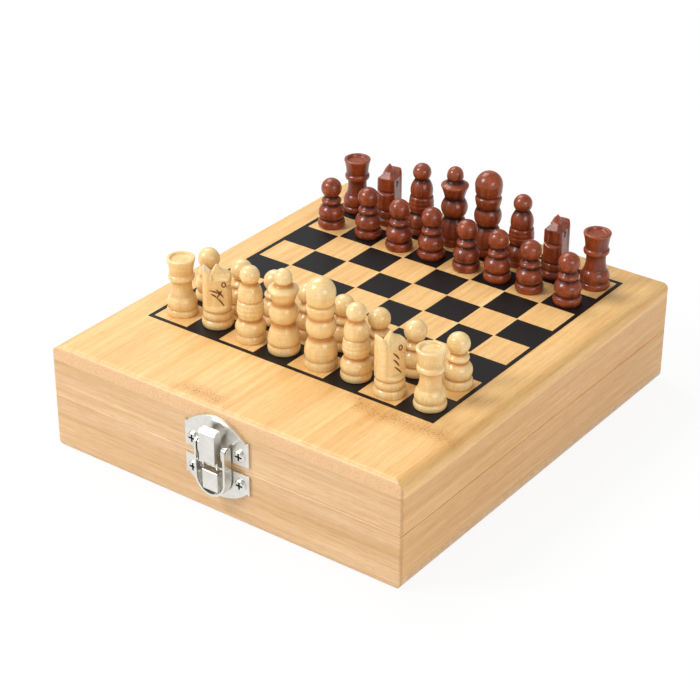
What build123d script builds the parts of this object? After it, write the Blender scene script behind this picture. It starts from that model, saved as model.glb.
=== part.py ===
from build123d import *
import math
import os

# Travel chess set: a shallow hinged bamboo case whose lid is the board, with 32 turned pieces.
# Millimetres. +Z is up, the latch faces -Y, and the origin is the centre of the case's underside.

# Case
case_width = 145.0
case_depth = 165.0
base_height = 21.0
lid_height = 19.0
wall_thickness = 8.0
floor_thickness = 5.0
panel_thickness = 5.5
side_round = 4.0
end_round = 2.2
corner_round = 1.2
seam_chamfer = 0.35
divider_thickness = 5.0
divider_below_seam = 1.0
felt_thickness = 1.0
felt_clearance = 0.3

# Board
board_squares = 8
square = 14.6
print_thickness = 0.1
print_line = 1.3
print_gap = 0.5
board_shift = 11.9

# Turned pieces: height and foot diameter
pawn_height = 19.4
pawn_foot = 10.2
rook_height = 21.4
rook_foot = 11.2
knight_height = 22.8
knight_foot = 11.0
bishop_height = 27.6
bishop_foot = 10.8
queen_height = 30.4
queen_foot = 11.3
king_height = 32.4
king_foot = 11.3

# Draw latch
plate_thickness = 0.8
plate_width = 26.4
ear_tip = 0.9
ear_dip = 0.7
catch_above_seam = 2.2
catch_ear_height = 9.6
catch_arc_rise = 5.2
keeper_below_seam = 0.9
keeper_ear_height = 7.6
keeper_arc_drop = 4.4
rim_width = 1.0
rim_height = 0.5
hook_width = 4.2
hook_rise = 10.5
hook_root = 4.2
hook_lip = 1.6
hook_out = 4.4
hook_thickness = 0.8
latch_screw_spread = 19.4
catch_screw_height = 3.6
keeper_screw_drop = 4.2
pivot_out = 3.0
pivot_above_seam = 6.8
ear_gap = 8.8
lug_thickness = 0.8
lug_radius = 1.3
lug_root = 3.6
lug_reach = 2.2
lug_clear = 0.8
lever_width = 12.6
lever_wall = 0.8
lever_tail = 11.0
lever_head = 1.7
boss_top_below_seam = 1.6
boss_bottom_below_seam = 9.0
boss_out = 4.9
boss_round = 0.6
rivet_radius = 0.6
rivet_inside = 0.2
rivet_head_radius = 1.1
rivet_head_height = 0.3
link_pin_out = 3.4
link_pin_above_seam = 0.3
link_pin_radius = 0.5
pin_proud = 0.15
strap_width = 6.4
strap_wall = 0.7
strap_out = 5.8
strap_eye_radius = 1.1
strap_foot_above_seam = 2.3
strap_shoulder = 2.2
strap_lip_back = 2.6
strap_round = 0.9
running_clearance = 0.05
latch_clearance = 0.3

# Hinges
hinge_spread = 84.0
hinge_width = 22.0
leaf_thickness = 0.9
leaf_height = 12.0
leaf_relief = 0.2
knuckle_radius = 1.7
hinge_pin_radius = 0.75
hinge_stand_off = 0.1
knuckle_gap = 0.15
hinge_screw_spread = 13.0
hinge_screw_offset = 7.6

# Wood screws
screw_head_radius = 2.15
screw_head_height = 0.9
screw_shank_radius = 0.9
screw_length = 6.0
head_ease = 0.5
cross_width = 0.7
cross_depth = 0.5
cross_share = 1.3
hinge_head_radius = 1.8

# Knight's head
knight_blank = 0.93
cheek_half_width = 3.9
ear_half_width = 1.5

case_height = base_height + lid_height
middle_square = (board_squares - 1) / 2
front_y = -case_depth / 2
back_y = case_depth / 2
front_face = Plane.XZ.offset(case_depth / 2)
back_face = Plane(origin=(0, back_y, 0), x_dir=(-1, 0, 0), z_dir=(0, 1, 0))

os.makedirs("parts", exist_ok=True)


def save(part, name):
    part.label = name
    export_step(part, f"parts/{name}.step")


# Case boards

def case_outline():
    RectangleRounded(case_width, case_depth, corner_round)


def rounded_panel(low, high, round_at_top):
    """A board over the whole case, with its outer edges rounded: amply at the sides, less at the ends."""
    middle = (low + high) / 2
    with BuildPart() as board:
        with BuildSketch(Plane.XY.offset(low)):
            case_outline()
        extrude(amount=high - low)
        for plane, span, reach, edge_round in (
            (Plane.XZ, case_width, case_depth, side_round),
            (Plane.YZ, case_depth, case_width, end_round),
        ):
            with BuildSketch(plane) as section:
                with Locations((0, middle)):
                    Rectangle(span, high - low)
                rounded = section.vertices().group_by(Axis.Y)[-1 if round_at_top else 0]
                fillet(rounded, edge_round)
            extrude(amount=reach / 2 + 1, both=True, mode=Mode.INTERSECT)
    return board


def mitred_plan(side):
    """The corners of one wall's plan, from its outer face to its inner face, with both ends at 45 degrees."""
    x, y = case_width / 2, case_depth / 2
    inner_x, inner_y = x - wall_thickness, y - wall_thickness
    return {
        "front": [(-x, -y), (x, -y), (inner_x, -inner_y), (-inner_x, -inner_y)],
        "back": [(x, y), (-x, y), (-inner_x, inner_y), (inner_x, inner_y)],
        "left": [(-x, y), (-x, -y), (-inner_x, -inner_y), (-inner_x, inner_y)],
        "right": [(x, -y), (x, y), (inner_x, inner_y), (inner_x, -inner_y)],
    }[side]


def mitred_wall(side, low, high, seam_at_top, pilot_holes=()):
    """One wall of the lid or the base, with its seam edge eased and its screws' pilot holes drilled."""
    outer_axis, outer_end = {
        "front": (Axis.Y, 0),
        "back": (Axis.Y, -1),
        "left": (Axis.X, 0),
        "right": (Axis.X, -1),
    }[side]
    with BuildPart() as wall:
        with BuildSketch(Plane.XY.offset(low)):
            case_outline()
            with BuildLine():
                Polyline(*mitred_plan(side), close=True)
            make_face(mode=Mode.INTERSECT)
        extrude(amount=high - low)
        along = Axis.X if outer_axis == Axis.Y else Axis.Y
        seam_edges = wall.edges().filter_by(along).group_by(Axis.Z)[-1 if seam_at_top else 0]
        chamfer(seam_edges.sort_by(outer_axis)[outer_end], seam_chamfer)
        if pilot_holes:
            with BuildSketch(front_face if side == "front" else back_face):
                with Locations(*pilot_holes):
                    Circle(screw_shank_radius + running_clearance)
            extrude(amount=-screw_length, mode=Mode.SUBTRACT)
    return wall


catch_screws = [
    (side * latch_screw_spread / 2, base_height + catch_above_seam + catch_screw_height)
    for side in (-1, 1)
]
keeper_screws = [
    (side * latch_screw_spread / 2, base_height - keeper_below_seam - keeper_screw_drop)
    for side in (-1, 1)
]
hinge_screw_x = [
    hinge * hinge_spread / 2 + side * hinge_screw_spread / 2 for hinge in (-1, 1) for side in (-1, 1)
]
lid_hinge_screws = [(x, base_height + hinge_screw_offset) for x in hinge_screw_x]
base_hinge_screws = [(x, base_height - hinge_screw_offset) for x in hinge_screw_x]

base_floor = rounded_panel(0, floor_thickness, False)
save(base_floor.part, "base_floor")

lid_panel = rounded_panel(case_height - panel_thickness, case_height, True)
save(lid_panel.part, "lid_panel")

base_holes = {"front": keeper_screws, "back": base_hinge_screws}
lid_holes = {"front": catch_screws, "back": lid_hinge_screws}
for side in ("front", "back", "left", "right"):
    base_wall = mitred_wall(side, floor_thickness, base_height, True, base_holes.get(side, ()))
    save(base_wall.part, f"base_{side}_wall")
    lid_wall = mitred_wall(
        side, base_height, case_height - panel_thickness, False, lid_holes.get(side, ())
    )
    save(lid_wall.part, f"lid_{side}_wall")

# Felt on the floor, and the divider that parts the light pieces from the dark ones in storage
inner_width = case_width - 2 * wall_thickness
inner_depth = case_depth - 2 * wall_thickness
felt_top = floor_thickness + felt_thickness

with BuildPart() as base_felt:
    with BuildSketch(Plane.XY.offset(floor_thickness)):
        Rectangle(inner_width - 2 * felt_clearance, inner_depth - 2 * felt_clearance)
    extrude(amount=felt_thickness)
save(base_felt.part, "base_felt")

with BuildPart() as base_divider:
    with BuildSketch(Plane.XY.offset(felt_top)):
        Rectangle(inner_width, divider_thickness)
    extrude(amount=base_height - divider_below_seam - felt_top)
    fillet(base_divider.edges().filter_by(Axis.X).group_by(Axis.Z)[-1], divider_thickness * 0.3)
save(base_divider.part, "base_divider")

# The printed board: 32 dark squares inside a dark line
dark_squares = [
    ((column - middle_square) * square, (row - middle_square) * square + board_shift)
    for column in range(board_squares)
    for row in range(board_squares)
    if (column + row) % 2
]
with BuildPart() as board_print:
    with BuildSketch(Plane.XY.offset(case_height)):
        with Locations((0, board_shift)):
            Rectangle(board_squares * square + 2 * print_line, board_squares * square + 2 * print_line)
            Rectangle(
                board_squares * square - print_gap, board_squares * square - print_gap, mode=Mode.SUBTRACT
            )
        with Locations(*dark_squares):
            Rectangle(square - print_gap, square - print_gap)
    extrude(amount=print_thickness)
save(board_print.part, "board_print")


# Turned pieces. Each stretch of an outline holds the share of the height where it ends, its radius there as a
# share of the foot's radius, and how far it swells outwards as a share of its length: 0 is straight.
pawn_outline = (
    (0.150, 0.93, 0.12),
    (0.165, 0.84, 0),
    (0.460, 0.66, 0.19),
    (0.475, 0.60, 0),
    (0.600, 0.60, 0.33),
    (0.640, 0.48, 0),
)
rook_outline = (
    (0.105, 0.95, 0.10),
    (0.120, 0.88, 0),
    (0.330, 0.74, 0.15),
    (0.600, 0.66, -0.04),
    (0.615, 0.80, 0),
    (0.700, 0.82, 0.12),
    (0.715, 0.75, 0),
    (0.975, 0.91, -0.03),
    (1.000, 0.87, 0),
    (1.000, 0.64, 0),
    (0.955, 0.60, 0),
    (0.955, 0, 0),
)
bishop_outline = (
    (0.090, 0.95, 0.10),
    (0.100, 0.91, 0),
    (0.290, 0.72, 0.18),
    (0.300, 0.69, 0),
    (0.310, 0.74, 0),
    (0.420, 0.87, 0.08),
    (0.428, 0.83, 0),
    (0.436, 0.86, 0),
    (0.535, 0.79, 0.07),
    (0.545, 0.71, 0),
    (0.555, 0.75, 0),
    (0.770, 0.50, 0.12),
    (0.788, 0.46, 0),
)
queen_outline = (
    (0.095, 0.95, 0.10),
    (0.105, 0.91, 0),
    (0.355, 0.67, 0.16),
    (0.365, 0.64, 0),
    (0.590, 0.68, 0.21),
    (0.600, 0.65, 0),
    (0.755, 0.90, 0.06),
    (0.785, 0.80, 0.25),
    (0.835, 0.47, -0.06),
    (0.895, 0.54, 0.15),
)
king_outline = (
    (0.090, 0.95, 0.10),
    (0.100, 0.92, 0),
    (0.340, 0.69, 0.15),
    (0.350, 0.67, 0),
    (0.545, 0.77, 0.16),
    (0.560, 0.74, 0),
    (0.665, 0.87, 0.04),
    (0.708, 0.80, 0.15),
    (0.718, 0.77, 0),
    (0.728, 0.82, 0),
    (0.810, 0.89, 0.05),
)
knight_foot_outline = (
    (0.115, 0.95, 0.12),
    (0.130, 0.88, 0),
    (0.245, 0.88, 0.10),
    (0.260, 0.84, 0),
    (0.300, 0.92, 0),
    (0.300, 0, 0),
)

# Standing places: where each piece's centre lies off the centre of its square, as the pieces were set down
set_down = {
    "light_rook_left": (-0.9, 0.9),
    "light_knight_left": (-0.1, 1.5),
    "light_bishop_left": (0.9, 0.1),
    "light_queen": (0.2, 0.5),
    "light_king": (1.5, 0),
    "light_bishop_right": (0.9, 0.6),
    "light_knight_right": (1.0, -1.1),
    "light_rook_right": (1.5, 0),
    "light_pawn_8": (1.2, 1.6),
    "brown_rook_left": (-1.2, 1.2),
    "brown_rook_right": (1.1, 1.2),
    "brown_pawn_1": (-0.7, -1.2),
    "brown_pawn_2": (0.7, 0.2),
    "brown_pawn_3": (1.1, -1.2),
    "brown_pawn_5": (1.0, -0.4),
    "brown_pawn_6": (-0.2, -0.6),
    "brown_pawn_7": (-1.2, -0.8),
    "brown_pawn_8": (0, -1.0),
}


def turned_profile(height, radius, outline):
    """The half section of a turned piece, drawn up its outline, with a ball on top where it ends off the axis."""
    with BuildLine() as profile:
        end = (outline[0][1] * radius, 0)
        Line((0, 0), end)
        for top, share, swell in outline:
            start, end = end, (share * radius, top * height)
            if swell:
                run, rise = end[0] - start[0], end[1] - start[1]
                middle = ((start[0] + end[0]) / 2 + rise * swell, (start[1] + end[1]) / 2 - run * swell)
                ThreePointArc(start, middle, end)
            else:
                Line(start, end)
        if end[0] > 0:
            rise = height - end[1]
            ball_radius = (end[0] ** 2 + rise**2) / (2 * rise)
            lean = (math.atan2(ball_radius - rise, end[0]) + math.pi / 2) / 2
            middle = (
                ball_radius * math.cos(lean),
                height - ball_radius + ball_radius * math.sin(lean),
            )
            ThreePointArc(end, middle, (0, height))
            end = (0, height)
        Line(end, (0, 0))
    return profile.edges()


def standing_plane(name, column, row, facing=1):
    """The plane on the board's square where a piece stands, turned half round for the brown knights."""
    shift_x, shift_y = set_down.get(name, (0, 0))
    x = (column - middle_square) * square + shift_x
    y = board_shift + (row - middle_square) * square + shift_y
    lift = print_thickness if (column + row) % 2 else 0
    return Plane(origin=(x, y, case_height + lift), x_dir=(facing, 0, 0), z_dir=(0, 0, 1))


def upright(plane):
    """The plane that stands on the given one, with its x axis shared and its y axis pointing up."""
    return Plane(origin=plane.origin, x_dir=plane.x_dir, z_dir=plane.x_dir.cross(plane.z_dir))


def sideways(plane):
    """The plane that stands on the given one along its y axis, which is the way a knight looks."""
    return Plane(origin=plane.origin, x_dir=plane.y_dir, z_dir=plane.x_dir)


def turned_piece(plane, height, foot, outline):
    with BuildPart() as piece:
        with BuildSketch(upright(plane)):
            make_face(turned_profile(height, foot / 2, outline))
        revolve(axis=Axis(plane.origin, plane.z_dir))
    return piece


def knight_piece(plane):
    """A turned blank sawn to a horse's head: mane, notch, ears, forehead, snout, jaw and flat cheeks."""
    radius = knight_foot / 2
    blank = radius * knight_blank
    shoulder = knight_height * knight_foot_outline[-1][0]
    head_height = knight_height - shoulder
    with BuildPart() as piece:
        with BuildSketch(plane.offset(shoulder)):
            Circle(blank)
        extrude(amount=head_height)
        with BuildSketch(sideways(plane)):
            with BuildLine():
                Polyline(
                    (-blank, shoulder),
                    (-blank, shoulder + head_height * 0.80),
                    (-blank * 0.80, shoulder + head_height * 0.97),
                    (-blank * 0.38, shoulder + head_height * 0.82),
                    (0, shoulder + head_height),
                    (blank * 0.26, shoulder + head_height * 0.87),
                    (blank, shoulder + head_height * 0.74),
                    (blank * 0.97, shoulder + head_height * 0.49),
                    (blank * 0.58, shoulder + head_height * 0.44),
                    (blank * 0.97, shoulder + head_height * 0.29),
                    (blank * 0.97, shoulder),
                    close=True,
                )
            make_face()
        extrude(amount=radius, both=True, mode=Mode.INTERSECT)
        with BuildSketch(upright(plane)):
            with BuildLine():
                Polyline(
                    (-radius, shoulder),
                    (-radius, shoulder + head_height * 0.14),
                    (-cheek_half_width, shoulder + head_height * 0.24),
                    (-cheek_half_width, shoulder + head_height * 0.76),
                    (-ear_half_width, shoulder + head_height),
                    (ear_half_width, shoulder + head_height),
                    (cheek_half_width, shoulder + head_height * 0.76),
                    (cheek_half_width, shoulder + head_height * 0.24),
                    (radius, shoulder + head_height * 0.14),
                    (radius, shoulder),
                    close=True,
                )
            make_face()
        extrude(amount=radius, both=True, mode=Mode.INTERSECT)
        with BuildSketch(upright(plane)):
            make_face(turned_profile(knight_height, radius, knight_foot_outline))
        revolve(axis=Axis(plane.origin, plane.z_dir))
    return piece


back_row = ("rook", "knight", "bishop", "queen", "king", "bishop", "knight", "rook")
shapes = {
    "rook": (rook_height, rook_foot, rook_outline),
    "bishop": (bishop_height, bishop_foot, bishop_outline),
    "queen": (queen_height, queen_foot, queen_outline),
    "king": (king_height, king_foot, king_outline),
}
for colour, officers_row, pawns_row, facing in (("light", 0, 1, 1), ("brown", 7, 6, -1)):
    for column, kind in enumerate(back_row):
        side = "" if kind in ("queen", "king") else ("_left" if column < 4 else "_right")
        name = f"{colour}_{kind}{side}"
        plane = standing_plane(name, column, officers_row, facing)
        if kind == "knight":
            officer = knight_piece(plane)
        else:
            officer = turned_piece(plane, *shapes[kind])
        save(officer.part, name)
    for column in range(board_squares):
        name = f"{colour}_pawn_{column + 1}"
        plane = standing_plane(name, column, pawns_row)
        pawn = turned_piece(plane, pawn_height, pawn_foot, pawn_outline)
        save(pawn.part, name)


# Draw latch, drawn on the front face, where x runs to the right and y runs up
def latch_plate(edge, upwards, ear_height, arc_rise, screws, rimmed):
    """A pressed half disc with an ear at each end of its straight edge, and an optional raised rim."""
    half = plate_width / 2
    ear_top = edge + upwards * ear_height
    arc_end = half - ear_tip
    crown = ear_top + upwards * arc_rise
    with BuildPart() as plate:
        with BuildSketch(front_face):
            with BuildLine():
                Polyline((-half, ear_top), (-half, edge), (half, edge), (half, ear_top))
                Line((half, ear_top), (arc_end, ear_top - upwards * ear_dip))
                ThreePointArc(
                    (arc_end, ear_top - upwards * ear_dip),
                    (0, crown),
                    (-arc_end, ear_top - upwards * ear_dip),
                )
                Line((-arc_end, ear_top - upwards * ear_dip), (-half, ear_top))
            make_face()
        extrude(amount=plate_thickness)
        if rimmed:
            with BuildSketch(front_face.offset(plate_thickness)):
                with BuildLine():
                    start = (arc_end, ear_top - upwards * ear_dip)
                    stop = (-arc_end, ear_top - upwards * ear_dip)
                    ThreePointArc(start, (0, crown), stop)
                    inner_start = (arc_end - rim_width, ear_top - upwards * ear_dip)
                    inner_stop = (-arc_end + rim_width, ear_top - upwards * ear_dip)
                    ThreePointArc(inner_start, (0, crown - upwards * rim_width), inner_stop)
                    Line(start, inner_start)
                    Line(stop, inner_stop)
                make_face()
            extrude(amount=rim_height)
        with BuildSketch(front_face):
            with Locations(*screws):
                Circle(screw_shank_radius + running_clearance)
        extrude(amount=plate_thickness, mode=Mode.SUBTRACT)
    return plate


def side_plane(x):
    """The plane across the latch at one x, where its own x is the distance out of the front face."""
    return Plane(origin=(x, front_y, 0), x_dir=(0, -1, 0), z_dir=(-1, 0, 0))


pivot_height = base_height + pivot_above_seam
link_height = base_height + link_pin_above_seam
catch_edge = base_height + catch_above_seam
keeper_edge = base_height - keeper_below_seam
hook_top = catch_edge + hook_rise
strap_inner = strap_out - strap_wall
eye_back = link_pin_out - strap_eye_radius

catch_disc = latch_plate(catch_edge, 1, catch_ear_height, catch_arc_rise, catch_screws, True)
with BuildPart() as latch_catch_plate:
    add(catch_disc.part)
    # the hook is a tongue lanced out of the plate and bent up in front of it
    with BuildSketch(side_plane(hook_width / 2)):
        with BuildLine():
            Polyline(
                (0, hook_top - hook_root),
                (plate_thickness, hook_top - hook_root),
                (hook_out - hook_thickness, hook_top - hook_root + hook_thickness),
                (hook_out, hook_top - hook_lip),
                (hook_out, hook_top),
                (hook_out - hook_thickness, hook_top),
                (hook_out - hook_thickness, hook_top - hook_lip),
                (plate_thickness, hook_top - hook_root + 2 * hook_thickness),
                (0, hook_top - hook_root + 2 * hook_thickness),
                close=True,
            )
        make_face()
    extrude(amount=hook_width)
save(latch_catch_plate.part, "latch_catch_plate")

keeper_disc = latch_plate(keeper_edge, -1, keeper_ear_height, keeper_arc_drop, keeper_screws, False)
with BuildPart() as latch_keeper_plate:
    add(keeper_disc.part)
    # two lugs turned out of the plate's straight edge carry the lever's pivot
    for side in (-1, 1):
        outer_x = side * ear_gap / 2 + (lug_thickness if side > 0 else 0)
        with BuildSketch(side_plane(outer_x)):
            with BuildLine():
                Polyline(
                    (0, keeper_edge - lug_root),
                    (plate_thickness, keeper_edge - lug_root),
                    (pivot_out + lug_radius, pivot_height - lug_reach),
                    (pivot_out + lug_radius, pivot_height),
                    (pivot_out - lug_radius, pivot_height),
                    (pivot_out - lug_radius, keeper_edge + lug_clear),
                    (plate_thickness, keeper_edge),
                    (0, keeper_edge),
                    close=True,
                )
            make_face()
            with Locations((pivot_out, pivot_height)):
                Circle(lug_radius)
                Circle(rivet_radius + running_clearance, mode=Mode.SUBTRACT)
        extrude(amount=lug_thickness)
save(latch_keeper_plate.part, "latch_keeper_plate")

lever_back = pivot_out - lever_head
lever_front = pivot_out + lever_head
lever_half = lever_width / 2
tail_centre = base_height - lever_tail + lever_half
tray_top = keeper_edge - lug_root - latch_clearance
boss_top = base_height - boss_top_below_seam
boss_bottom = base_height - boss_bottom_below_seam
with BuildPart() as latch_lever:
    # the lever is a deep tray, open at its top, with a round tail
    with BuildSketch(front_face.offset(lever_back)):
        with Locations((0, (tail_centre + pivot_height + lever_head) / 2)):
            Rectangle(lever_width, pivot_height + lever_head - tail_centre)
        with Locations((0, tail_centre)):
            Circle(lever_half)
    extrude(amount=2 * lever_head)
    with BuildSketch(front_face.offset(lever_back + lever_wall)):
        with Locations((0, (tail_centre + pivot_height + lever_head) / 2)):
            Rectangle(lever_width - 2 * lever_wall, pivot_height + lever_head - tail_centre)
        with Locations((0, tail_centre)):
            Circle(lever_half - lever_wall)
    extrude(amount=2 * lever_head, mode=Mode.SUBTRACT)
    # the tray's floor stops below the keeper's lugs
    with BuildSketch(front_face.offset(lever_back)):
        with Locations((0, (tray_top + pivot_height + lever_head) / 2)):
            Rectangle(lever_width - 2 * lever_wall, pivot_height + lever_head - tray_top)
    extrude(amount=lever_wall, mode=Mode.SUBTRACT)
    # round heads about the pivot
    with BuildSketch(side_plane(lever_half)) as head_corners:
        with Locations((pivot_out, pivot_height + lever_head / 2)):
            Rectangle(2 * lever_head, lever_head)
        with Locations((pivot_out, pivot_height)):
            Circle(lever_head, mode=Mode.SUBTRACT)
    extrude(amount=lever_width, mode=Mode.SUBTRACT)
    # the finger boss, a box drawn up from the floor
    with BuildSketch(front_face.offset(lever_back)):
        with Locations((0, (boss_top + boss_bottom) / 2)):
            Rectangle(strap_width, boss_top - boss_bottom)
    extrude(amount=boss_out - lever_back)
    front_edges = latch_lever.faces().sort_by(Axis.Y)[0].edges()
    fillet(front_edges, boss_round)
    # holes for the pivot rivets and the link pin
    with BuildSketch(side_plane(lever_half)):
        with Locations((pivot_out, pivot_height)):
            Circle(rivet_radius + running_clearance)
        with Locations((link_pin_out, link_height)):
            Circle(link_pin_radius + running_clearance)
    extrude(amount=lever_width, mode=Mode.SUBTRACT)
save(latch_lever.part, "latch_lever")

strap_top = hook_top + latch_clearance + strap_wall
strap_foot = base_height + strap_foot_above_seam
with BuildPart() as latch_strap:
    # the strap is a channel: a front with a flange turned back along each side
    with BuildSketch(side_plane(strap_width / 2)):
        with BuildLine():
            Polyline(
                (eye_back, link_height),
                (eye_back, strap_top - strap_shoulder),
                (strap_lip_back, strap_top - strap_wall),
                (strap_lip_back, strap_top),
                (strap_out - strap_round, strap_top),
                (strap_out, strap_top - strap_round),
                (strap_out, strap_foot),
                (link_pin_out + strap_eye_radius, strap_foot),
                (link_pin_out + strap_eye_radius, link_height),
                close=True,
            )
        make_face()
        with Locations((link_pin_out, link_height)):
            Circle(strap_eye_radius)
    extrude(amount=strap_width)
    # the hollow between the flanges, open at the back and the foot
    with BuildSketch(side_plane(strap_width / 2 - strap_wall)):
        with BuildLine():
            Polyline(
                (0, link_height - 2 * strap_eye_radius),
                (0, strap_top - strap_wall),
                (strap_inner, strap_top - strap_wall),
                (strap_inner, link_height - 2 * strap_eye_radius),
                close=True,
            )
        make_face()
    extrude(amount=strap_width - 2 * strap_wall, mode=Mode.SUBTRACT)
    with BuildSketch(side_plane(strap_width / 2)):
        with Locations((link_pin_out, link_height)):
            Circle(link_pin_radius + running_clearance)
    extrude(amount=strap_width, mode=Mode.SUBTRACT)
save(latch_strap.part, "latch_strap")

with BuildPart() as latch_link_pin:
    with BuildSketch(side_plane(lever_half + pin_proud)):
        with Locations((link_pin_out, link_height)):
            Circle(link_pin_radius)
    extrude(amount=lever_width + 2 * pin_proud)
save(latch_link_pin.part, "latch_link_pin")

rivet_length = lever_half + pin_proud - ear_gap / 2 + rivet_inside
with BuildPart() as latch_rivets:
    for side in (-1, 1):
        outer_x = side * (lever_half + pin_proud)
        with BuildSketch(side_plane(outer_x)):
            with Locations((pivot_out, pivot_height)):
                Circle(rivet_radius)
        extrude(amount=side * rivet_length)
        with BuildSketch(side_plane(outer_x)):
            with Locations((pivot_out, pivot_height)):
                Circle(rivet_head_radius)
        extrude(amount=side * -rivet_head_height)
save(latch_rivets.part, "latch_rivets")


def wood_screws(face, places, seat, head_radius, cross):
    """Pan headed wood screws through a plate into a wall, with a cross recess where it shows."""
    with BuildPart() as screws:
        with BuildSketch(face.offset(seat)):
            with Locations(*places):
                Circle(head_radius)
        extrude(amount=screw_head_height)
        chamfer(screws.edges().filter_by(GeomType.CIRCLE).group_by(Axis.Y)[0 if cross else -1], head_ease)
        with BuildSketch(face.offset(seat)):
            with Locations(*places):
                Circle(screw_shank_radius)
        extrude(amount=-screw_length)
        if cross:
            with BuildSketch(face.offset(seat + screw_head_height)):
                with Locations(*places):
                    Rectangle(head_radius * cross_share, cross_width)
                    Rectangle(cross_width, head_radius * cross_share)
            extrude(amount=-cross_depth, mode=Mode.SUBTRACT)
    return screws


latch_screws_lid = wood_screws(front_face, catch_screws, plate_thickness, screw_head_radius, True)
save(latch_screws_lid.part, "latch_screws_lid")
latch_screws_base = wood_screws(front_face, keeper_screws, plate_thickness, screw_head_radius, True)
save(latch_screws_base.part, "latch_screws_base")

# Hinges on the back face: a leaf on each half, with knuckles that share the seam line as their axis
hinge_axis_out = knuckle_radius + hinge_stand_off
knuckle_length = (hinge_width - 4 * knuckle_gap) / 5


def hinge_section(sense):
    """A leaf and its curled knuckle seen from the end, with the leaf above the seam or below it."""
    with Locations((hinge_axis_out, base_height)):
        Circle(knuckle_radius)
    with Locations((leaf_thickness / 2, base_height + sense * leaf_height / 2)):
        Rectangle(leaf_thickness, leaf_height)
    with Locations((hinge_axis_out, base_height)):
        Circle(hinge_pin_radius + running_clearance, mode=Mode.SUBTRACT)


def back_plane(x):
    """The plane across a hinge at one x, where its own x is the distance out of the back face."""
    return Plane(origin=(x, back_y, 0), x_dir=(0, 1, 0), z_dir=(1, 0, 0))


def hinge_leaves(sense, knuckles, screws):
    """Both hinges' leaves for one half of the case, each cut away where the other half's knuckles turn."""
    with BuildPart() as leaves:
        for hinge in (-1, 1):
            start = hinge * hinge_spread / 2 - hinge_width / 2
            for knuckle in range(5):
                near = start + knuckle * (knuckle_length + knuckle_gap)
                if knuckle in knuckles:
                    with BuildSketch(back_plane(near)):
                        hinge_section(sense)
                    extrude(amount=knuckle_length)
            with BuildSketch(back_plane(start)):
                relief = knuckle_radius + knuckle_gap + leaf_relief
                with Locations((leaf_thickness / 2, base_height + sense * (leaf_height + relief) / 2)):
                    Rectangle(leaf_thickness, leaf_height - relief)
            extrude(amount=hinge_width)
        with BuildSketch(back_face):
            with Locations(*screws):
                Circle(screw_shank_radius + running_clearance)
        extrude(amount=leaf_thickness, mode=Mode.SUBTRACT)
    return leaves


hinge_leaves_base = hinge_leaves(-1, (0, 2, 4), base_hinge_screws)
save(hinge_leaves_base.part, "hinge_leaves_base")
hinge_leaves_lid = hinge_leaves(1, (1, 3), lid_hinge_screws)
save(hinge_leaves_lid.part, "hinge_leaves_lid")

with BuildPart() as hinge_pins:
    for hinge in (-1, 1):
        with BuildSketch(back_plane(hinge * hinge_spread / 2 - hinge_width / 2 - pin_proud)):
            with Locations((hinge_axis_out, base_height)):
                Circle(hinge_pin_radius)
        extrude(amount=hinge_width + 2 * pin_proud)
save(hinge_pins.part, "hinge_pins")

hinge_screws_lid = wood_screws(back_face, lid_hinge_screws, leaf_thickness, hinge_head_radius, False)
save(hinge_screws_lid.part, "hinge_screws_lid")
hinge_screws_base = wood_screws(back_face, base_hinge_screws, leaf_thickness, hinge_head_radius, False)
save(hinge_screws_base.part, "hinge_screws_base")
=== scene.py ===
import math

import bmesh
import bpy
import numpy as np
from mathutils import Matrix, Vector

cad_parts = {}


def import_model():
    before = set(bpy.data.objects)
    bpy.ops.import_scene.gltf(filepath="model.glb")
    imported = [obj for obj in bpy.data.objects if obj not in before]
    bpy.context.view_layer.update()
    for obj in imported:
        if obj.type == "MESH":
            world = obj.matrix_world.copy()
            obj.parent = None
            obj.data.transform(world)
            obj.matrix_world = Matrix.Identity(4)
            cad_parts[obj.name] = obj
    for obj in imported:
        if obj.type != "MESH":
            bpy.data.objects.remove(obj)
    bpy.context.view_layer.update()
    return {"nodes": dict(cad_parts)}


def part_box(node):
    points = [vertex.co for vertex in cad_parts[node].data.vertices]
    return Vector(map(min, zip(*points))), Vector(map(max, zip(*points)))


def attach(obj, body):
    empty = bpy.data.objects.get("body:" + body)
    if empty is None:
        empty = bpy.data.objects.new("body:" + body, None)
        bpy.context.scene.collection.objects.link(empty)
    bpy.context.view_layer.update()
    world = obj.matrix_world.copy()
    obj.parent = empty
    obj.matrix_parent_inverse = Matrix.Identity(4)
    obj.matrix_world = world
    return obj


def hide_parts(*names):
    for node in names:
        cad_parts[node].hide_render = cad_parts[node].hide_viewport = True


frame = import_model()
nodes = frame["nodes"]
mm = 0.001
print("frame loaded:", len(nodes), "nodes")


# Shared helpers

def colour(red, green, blue):
    # a screen colour from 0 to 255 becomes a linear one
    c = np.array([red, green, blue]) / 255
    linear = np.where(c <= 0.04045, c / 12.92, ((c + 0.055) / 1.055) ** 2.4)
    return (*linear.tolist(), 1.0)


def addNode(tree, kind, inputs=None, **settings):
    # inputs may be plain values or the sockets of other nodes
    node = tree.nodes.new(kind)
    for key, value in settings.items():
        setattr(node, key, value)
    for key, value in (inputs or {}).items():
        if isinstance(value, bpy.types.NodeSocket):
            tree.links.new(value, node.inputs[key])
        else:
            node.inputs[key].default_value = value
    return node


def calc(tree, operation, a, b=0.0):
    return addNode(tree, "ShaderNodeMath", {0: a, 1: b}, operation=operation).outputs[0]


def times(tree, a, b):
    return calc(tree, "MULTIPLY", a, b)


def mixed(tree, factor, a, b):
    # the colour a, and b over it as far as the factor goes
    return addNode(tree, "ShaderNodeMix", {0: factor, 6: a, 7: b}, data_type="RGBA").outputs[2]


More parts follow.
